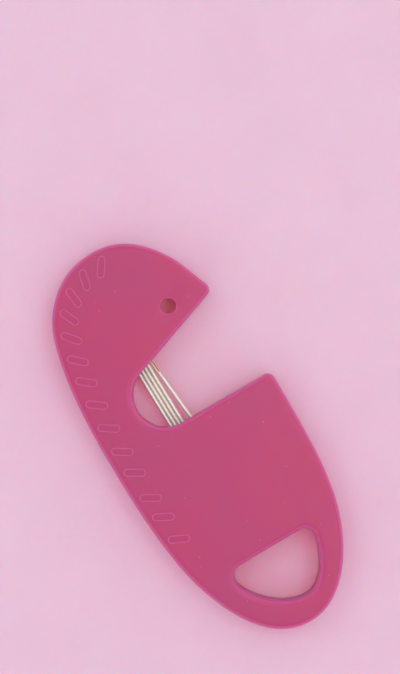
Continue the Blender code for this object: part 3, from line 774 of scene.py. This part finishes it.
def thumb_cutters():
    """The thumb button's recess, with a rounded lip, and the slot that its lug slides in."""
    margin = RECESS_MARGIN
    width = (-THUMB_HALF_WIDTH - margin, THUMB_HALF_WIDTH + margin)
    reach = (THUMB_T[0] - STROKE - margin, THUMB_T[1] + margin)
    outline = rounded_corners(drive_corners(reach, width), THUMB_CORNER)
    lip = [(0.0, RECESS_DEPTH), (0.0, 0.25), (-0.07, 0.1), (-0.25, 0.0), (-0.25, -1.0)]
    recess = lofted("thumb_recess", [outline], lip)
    slot_t = (LUG_T - STROKE - LUG_RADIUS - margin, LUG_T + LUG_RADIUS + 0.2)
    slot_outline = rounded_corners(drive_corners(slot_t, (-THUMB_SLOT_HALF, THUMB_SLOT_HALF)), 1.0)
    return [recess, plate("thumb_slot", [slot_outline], (0.5, RECESS_FLOOR_TOP + OVERLAP))]


def back_shell():
    shell = casing_half("back_shell_moulding", PARTING - SHELL_GAP / 2, -1, 0)
    inside = (WALL, PARTING)
    top = PARTING + OVERLAP
    hollow = cut(cavity("back_hollow", (inside[0], top)), *left_standing(inside), *back_blocks())
    seat = upright("seat_recess", HOLE, (SEAT_Z[0] - FIT, top), SEAT_RADIUS + FIT, 64)
    depth = (PEG_TIP - 0.3, top)
    sockets = [upright(f"socket_{i}", spot, depth, PEG_RADIUS + FIT) for i, spot in enumerate(PEGS)]
    guide = guide_hole("back_guide_hole")
    cut(shell, hollow, *pocket_cutters(top), seat, guide, *sockets, *thumb_cutters())
    return finish(shell, MAGENTA, "casing", "back_shell", slot="shell")


def pocket_cover():
    """The thin plate that closes the pocket's head end, sunk in a ledge of the back shell."""
    x = (POCKET_HEAD_X[0] - COVER_LEDGE + COVER_GAP, POCKET_HEAD_X[1] + COVER_LEDGE - COVER_GAP)
    y = (COVER_Y[0] + COVER_GAP, COVER_Y[1] - COVER_GAP)
    outline = rounded_corners([(x[0], y[0]), (x[0], y[1]), (x[1], y[1]), (x[1], y[0])], 0.35)
    cover = softened("pocket_cover_plate", [outline], COVER_Z, 0.08, True)
    return finish(cover, MAGENTA, "casing", "pocket_cover", slot="shell")


# Mechanism

def needle_seat():
    """The cup under the eye hole, with a V-shaped trough across the blade's way."""
    chamfer = 0.12
    low, high = SEAT_Z
    profile = [(0, low), (SEAT_RADIUS - chamfer, low), (SEAT_RADIUS, low + chamfer)]
    profile += [(SEAT_RADIUS, high - chamfer), (SEAT_RADIUS - chamfer, high), (0, high)]
    seat = turned("needle_seat_cup", HOLE, profile, 64, True)
    narrow, wide = TROUGH_HALF_WIDTHS
    rise = high - TROUGH_Z
    spread = (wide - narrow) * (rise + TROUGH_OVERCUT) / rise + narrow
    bm = bmesh.new()
    for z, half in ((TROUGH_Z, narrow), (high + TROUGH_OVERCUT, spread)):
        for t, e in ((-half, -1), (-half, 1), (half, 1), (half, -1)):
            bm.verts.new(Vector((*drive(t, e * TROUGH_HALF_LENGTH), z)) * MM)
    bmesh.ops.convex_hull(bm, input=bm.verts)
    cut(seat, from_bmesh("trough", bm))
    return finish(seat, SEAT, "casing", "needle_seat", slot="seat_plastic")


def thumb_button():
    """The button on the back face, with grooves across its travel."""
    half = THUMB_HALF_WIDTH
    outline = rounded_corners(drive_corners(THUMB_T, (-half, half)), THUMB_CORNER)
    button = softened("thumb_button_moulding", [outline], THUMB_Z, 0.2, True)
    pitch = (THUMB_T[1] - THUMB_T[0] - 2 * THUMB_BORDER_T) / THUMB_RIDGES
    reach = half - THUMB_BORDER_E
    grooves = []
    for i in range(THUMB_RIDGES):
        t = THUMB_T[0] + THUMB_BORDER_T + pitch * (i + 0.5)
        ends = [(*drive(t, e), THUMB_Z[0] - 0.12) for e in (-reach, reach)]
        grooves.append(rod(f"groove_{i}", *ends, THUMB_GROOVE_RADIUS, 20))
    cut(button, *grooves, upright("lug_socket", drive(LUG_T, 0), (LUG_END - FIT, 3), LUG_RADIUS + FIT))
    return finish(button, BUTTON_MAGENTA, "slider", "thumb_button", slot="button")


def blade_carriage():
    """The slider: a block slotted for the blade, an ear for the spring and a lug for the thumb button."""
    half = CARRIAGE_HALF_WIDTH
    block = rounded_corners(drive_corners(CARRIAGE_T, (-half, half)), 0.45)
    carriage = softened("blade_carriage_slider", [block], CARRIAGE_Z, 0.2, True)
    ear_z = (PARTING - EAR_HALF_HEIGHT, PARTING + EAR_HALF_HEIGHT)
    ear_outline = rounded_corners(drive_corners(EAR_T, (SPRING_E - 1.0, 0)), 0.25)
    ear = softened("ear", [ear_outline], ear_z, 0.12)
    top = CARRIAGE_Z[0] + OVERLAP
    lug = [(0, LUG_END), (LUG_RADIUS - 0.12, LUG_END), (LUG_RADIUS, LUG_END + 0.12)]
    lug += [(LUG_RADIUS, top), (0, top)]
    join(carriage, ear, turned("lug", drive(LUG_T, 0), lug))
    slot_half = BLADE_THICKNESS / 2 + BLADE_FIT
    slot_t = (CARRIAGE_T[0] - 1, BLADE_T[1] + 0.05)
    slot = drive_box("blade_slot", slot_t, (-slot_half, slot_half), (BLADE_Z[0] - 0.05, 7))
    holes = [cross_rod(f"rivet_hole_{i}", t, 3.0, RIVET_RADIUS + RIVET_FIT) for i, t in enumerate(RIVETS)]
    bore_ends = [(*drive(t, SPRING_E), PARTING) for t in (EAR_T[0] - 1, EAR_T[1] + 1)]
    cut(carriage, slot, *holes, rod("ear_bore", *bore_ends, GUIDE_RADIUS + FIT))
    return finish(carriage, WHITE, "slider", "blade_carriage", slot="white_plastic")


def cross_rod(name, t, half_length, radius, keep=False, chamfer=0.0):
    """A rod across the blade, at the blade's mid-height."""
    ends = [(*drive(t, e), sum(BLADE_Z) / 2) for e in (-half_length, half_length)]
    return rod(name, *ends, radius, keep=keep, chamfer=chamfer)


def threading_blade():
    """A thin strip with a V notch in its tapered nose, which catches the thread, and two rivet holes."""
    nose, back = BLADE_T
    low, high = BLADE_Z
    middle, notch = (low + high) / 2, BLADE_NOTCH
    shoulder, land = nose + BLADE_TAPER, nose + BLADE_LAND
    side = [(back, high), (back, low), (shoulder, low), (land, middle - notch - 0.05)]
    side += [(nose, middle - notch), (nose + notch, middle), (nose, middle + notch)]
    side += [(land, middle + notch + 0.05), (shoulder, high)]
    holes = [arc(((t, middle), RIVET_RADIUS + RIVET_FIT), 0, 360, 24)[:-1] for t in RIVETS]
    half = BLADE_THICKNESS / 2
    blade = softened("threading_blade_strip", [side, *holes], (-half, half), 0.02, True, 1)
    a = math.radians(DRIVE_HEADING)
    turn = Matrix(((math.cos(a), 0, math.sin(a)), (math.sin(a), 0, -math.cos(a)), (0, 1, 0))).to_4x4()
    blade.data.transform(Matrix.Translation(Vector((*HOLE, 0)) * MM) @ turn)
    return finish(blade, BLADE_STEEL, "slider", "threading_blade", slot="blade_steel")


def pins():
    """The two rivets through blade and carriage, and the pin that guides the spring."""
    for i, t in enumerate(RIVETS, 1):
        rivet = cross_rod(f"blade_rivet_pin_{i}", t, CARRIAGE_HALF_WIDTH - 0.1, RIVET_RADIUS, True, 0.08)
        finish(rivet, STEEL, "slider", f"blade_rivet_{i}", slot="small_steel")
    ends = [(*drive(t, SPRING_E), PARTING) for t in GUIDE_T]
    pin = rod("spring_guide_rod", *ends, GUIDE_RADIUS, 32, True, 0.12)
    finish(pin, STEEL, "casing", "spring_guide_pin", slot="small_steel")


def return_spring():
    """A smooth coil with capped ends, from the stop to the carriage's ear."""
    inset = SPRING_SEAT_GAP + SPRING_WIRE / 2
    start, end = STOP_T[1] + inset, EAR_T[0] - inset
    steps = SPRING_TURNS * SPRING_STEPS
    curve = bpy.data.curves.new("return_spring_wire", "CURVE")
    curve.dimensions = "3D"
    curve.bevel_depth = SPRING_WIRE / 2 * MM
    curve.bevel_resolution = 3
    curve.use_fill_caps = True
    spline = curve.splines.new("POLY")
    spline.points.add(steps)
    for i, spot in enumerate(spline.points):
        share = i / steps
        turn = 2 * math.pi * SPRING_TURNS * share
        x, y = drive(start + (end - start) * share, SPRING_E + SPRING_RADIUS * math.cos(turn))
        spot.co = (x * MM, y * MM, (PARTING + SPRING_RADIUS * math.sin(turn)) * MM, 1)
    wire = bpy.data.objects.new("return_spring_wire", curve)
    PIECES.objects.link(wire)
    coil = bpy.data.objects.new("return_spring_coil", evaluated_mesh(wire))
    bpy.data.objects.remove(wire)
    PIECES.objects.link(coil)
    weld = bmesh.new()
    weld.from_mesh(coil.data)
    bmesh.ops.remove_doubles(weld, verts=weld.verts, dist=WELD)
    weld.to_mesh(coil.data)
    weld.free()
    finish(coil, STEEL, "casing", "return_spring", slot="small_steel")
    x, y = drive(STOP_T[1], SPRING_E)
    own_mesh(coil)
    return coil


# Needles

# Distance from the needle's point, and radius there as a share of the shaft's
NEEDLE_TAPER = (
    (0.0, 0.0),
    (0.05, 0.10),
    (0.3, 0.16),
    (1.6, 0.42),
    (2.9, 0.62),
    (4.3, 0.78),
    (6.0, 0.90),
    (7.8, 0.97),
)
NEEDLE_SHAFT = (10.0, 14.0, 20.0, 26.0, NEEDLE_LENGTH - 4.5, NEEDLE_LENGTH - 3.3, NEEDLE_LENGTH - 0.9)
NEEDLE_CROWN = ((0.55, 0.95), (0.25, 0.80), (0.06, 0.5), (0.0, 0.0))  # the same, from the eye's end


def needle_mesh():
    """A turned needle with a slot for its eye, a groove on each side of it, and its heights kept."""
    r = NEEDLE_RADIUS
    end = NEEDLE_LENGTH
    profile = [(share * r, height) for height, share in NEEDLE_TAPER]
    profile += [(r, height) for height in NEEDLE_SHAFT]
    profile += [(share * r, end - down) for down, share in NEEDLE_CROWN]
    blank = lathe("needle_blank", profile, 28)
    eye = stadium(EYE_FROM_END[1] - EYE_FROM_END[0], EYE_WIDTH, 8)
    middle = end - sum(EYE_FROM_END) / 2
    half = 0.5  # of the cutters' depth
    bore = plate("needle_eye", [eye], (-half, half))
    groove = plate("needle_groove", [stadium(EYE_GROOVE_LENGTH, EYE_GROOVE_WIDTH, 8)], (-half, half))
    turn = Matrix(((0, 1, 0, 0), (0, 0, 1, 0), (1, 0, 0, middle * MM), (0, 0, 0, 1)))
    bore.data.transform(turn)
    shallow = []
    out = (r + half - EYE_GROOVE_DEPTH) * MM
    for side in (-1, 1):
        copy = bpy.data.objects.new(f"groove_{side}", groove.data.copy())
        CUTTERS.objects.link(copy)
        copy.data.transform(Matrix.Translation((0, side * out, -EYE_GROOVE_SHIFT * MM)) @ turn)
        shallow.append(copy)
    bpy.data.objects.remove(groove)
    cut(blank, bore, *shallow)
    mesh = blank.data
    bpy.data.objects.remove(blank)
    heights = mesh.attributes.new("along_needle", "FLOAT", "POINT")
    for vertex, height in zip(mesh.vertices, heights.data):
        height.value = vertex.co.z / MM
    return mesh


def needles():
    """The row of four and the loose one, each with its own copy of the needle's mesh."""
    shared = needle_mesh()
    rows = [(ROW_X + NEEDLE_PITCH * i, ROW_TILT, eye_y) for i, eye_y in enumerate(ROW_EYES)]
    rows.append((LOOSE_X, LOOSE_TILT, LOOSE_EYE))
    for i, (x, tilt, eye_y) in enumerate(rows, 1):
        lean = math.radians(tilt)
        tip_y = eye_y - NEEDLE_LENGTH * math.cos(lean)
        tip_x = x + (ROW_LEVEL - tip_y) * math.tan(lean)
        needle = bpy.data.objects.new(f"sewing_needle_{i}", shared.copy())
        PIECES.objects.link(needle)
        roll = Matrix.Rotation(math.radians(ROLLS[i - 1]), 4, "Z")
        lie_down = Matrix.Rotation(math.radians(-90), 4, "X")
        needle.data.transform(Matrix.Rotation(lean, 4, "Z") @ lie_down @ roll)
        needle.data.transform(Matrix.Translation(Vector((tip_x, tip_y, NEEDLE_HEIGHT)) * MM))
        finish(needle, NEEDLE, f"stored_needle_{i}", f"needle_{i}", slot="needle", angle=50)


# Setting

FLOOR_REACH = 1500
FLOOR_Z = (-3.0, -0.02)


def floor():
    """A wide plain sheet of pale card, which lets a little light through."""
    material, tree, shader = shader_of("pale_floor")
    fibre = ramp(tree, noise(tree, 60, 4, 0.6), 0.3, 0.7, 0.0, 1.0)
    card = mixed(tree, fibre, (0.527, 0.595, 0.695, 1), (0.549, 0.620, 0.720, 1))
    tree.links.new(card, shader.inputs["Base Color"])
    shader.inputs["Roughness"].default_value = 0.75
    shader.inputs["Subsurface Weight"].default_value = 0.8
    shader.inputs["Subsurface Radius"].default_value = (1.0, 0.12, 0.18)
    shader.inputs["Subsurface Scale"].default_value = 0.020
    sheet = box("floor", (-FLOOR_REACH, FLOOR_REACH), (-FLOOR_REACH, FLOOR_REACH), FLOOR_Z, True)
    sheet.data.materials.append(material)


SOFTBOX_SIZE = 420
SOFTBOX_DISTANCE = 900
LIT_PLACE = (5, 10, 0)
# Name, heading, tilt from overhead, and power in watts
SOFTBOXES = (
    ("key", 118, 28, 1.05),
    ("left", 205, 32, 0.62),
    ("low", 292, 32, 0.58),
    ("right", 20, 32, 0.62),
    ("near", 350, 13, 1.45),
)


def softbox(name, heading, tilt, power):
    data = bpy.data.lights.new(name, "AREA")
    data.shape = "SQUARE"
    data.size = SOFTBOX_SIZE * MM
    data.energy = power
    lamp = bpy.data.objects.new(name, data)
    a, b = math.radians(heading), math.radians(tilt)
    toward = Vector((math.cos(a) * math.sin(b), math.sin(a) * math.sin(b), math.cos(b)))
    lamp.location = toward * SOFTBOX_DISTANCE * MM
    lamp.rotation_euler = (Vector(LIT_PLACE) * MM - lamp.location).to_track_quat("-Z", "Y").to_euler()
    bpy.context.scene.collection.objects.link(lamp)


def lights():
    """Softboxes all round, and a sky that is brighter low down, so the thin edges are lit."""
    world = bpy.data.worlds.new("studio")
    world.use_nodes = True
    tree = world.node_tree
    background = tree.nodes["Background"]
    background.inputs["Color"].default_value = (1.0, 0.94, 1.0, 1)
    direction = node(tree, "ShaderNodeTexCoord").outputs["Generated"]
    up = node(tree, "ShaderNodeSeparateXYZ", {"Vector": direction}).outputs["Z"]
    tree.links.new(ramp(tree, up, 0.25, 0.75, 1.25, 0.24), background.inputs["Strength"])
    bpy.context.scene.world = world
    bpy.context.scene.view_settings.view_transform = "Standard"
    for name, heading, tilt, power in SOFTBOXES:
        softbox(name, heading, tilt, power)


CAMERA_PLACE = (8.82, 15.54, 508)
CAMERA_TURN = -30.5
CAMERA_LENS = 149.55


def camera():
    """Looks straight down, turned so that the tool leans across the frame."""
    data = bpy.data.cameras.new("camera")
    data.sensor_fit = "VERTICAL"
    data.sensor_height = 36
    data.lens = CAMERA_LENS
    data.clip_start = 0.01
    data.clip_end = 10
    eye = bpy.data.objects.new("camera", data)
    eye.location = Vector(CAMERA_PLACE) * MM
    eye.rotation_euler = (0, 0, math.radians(CAMERA_TURN))
    bpy.context.scene.collection.objects.link(eye)
    bpy.context.scene.camera = eye


front_shell()
back_shell()
pocket_cover()
needle_seat()
blade_carriage()
threading_blade()
pins()
thumb_button()
return_spring()
needles()
floor()
lights()
camera()
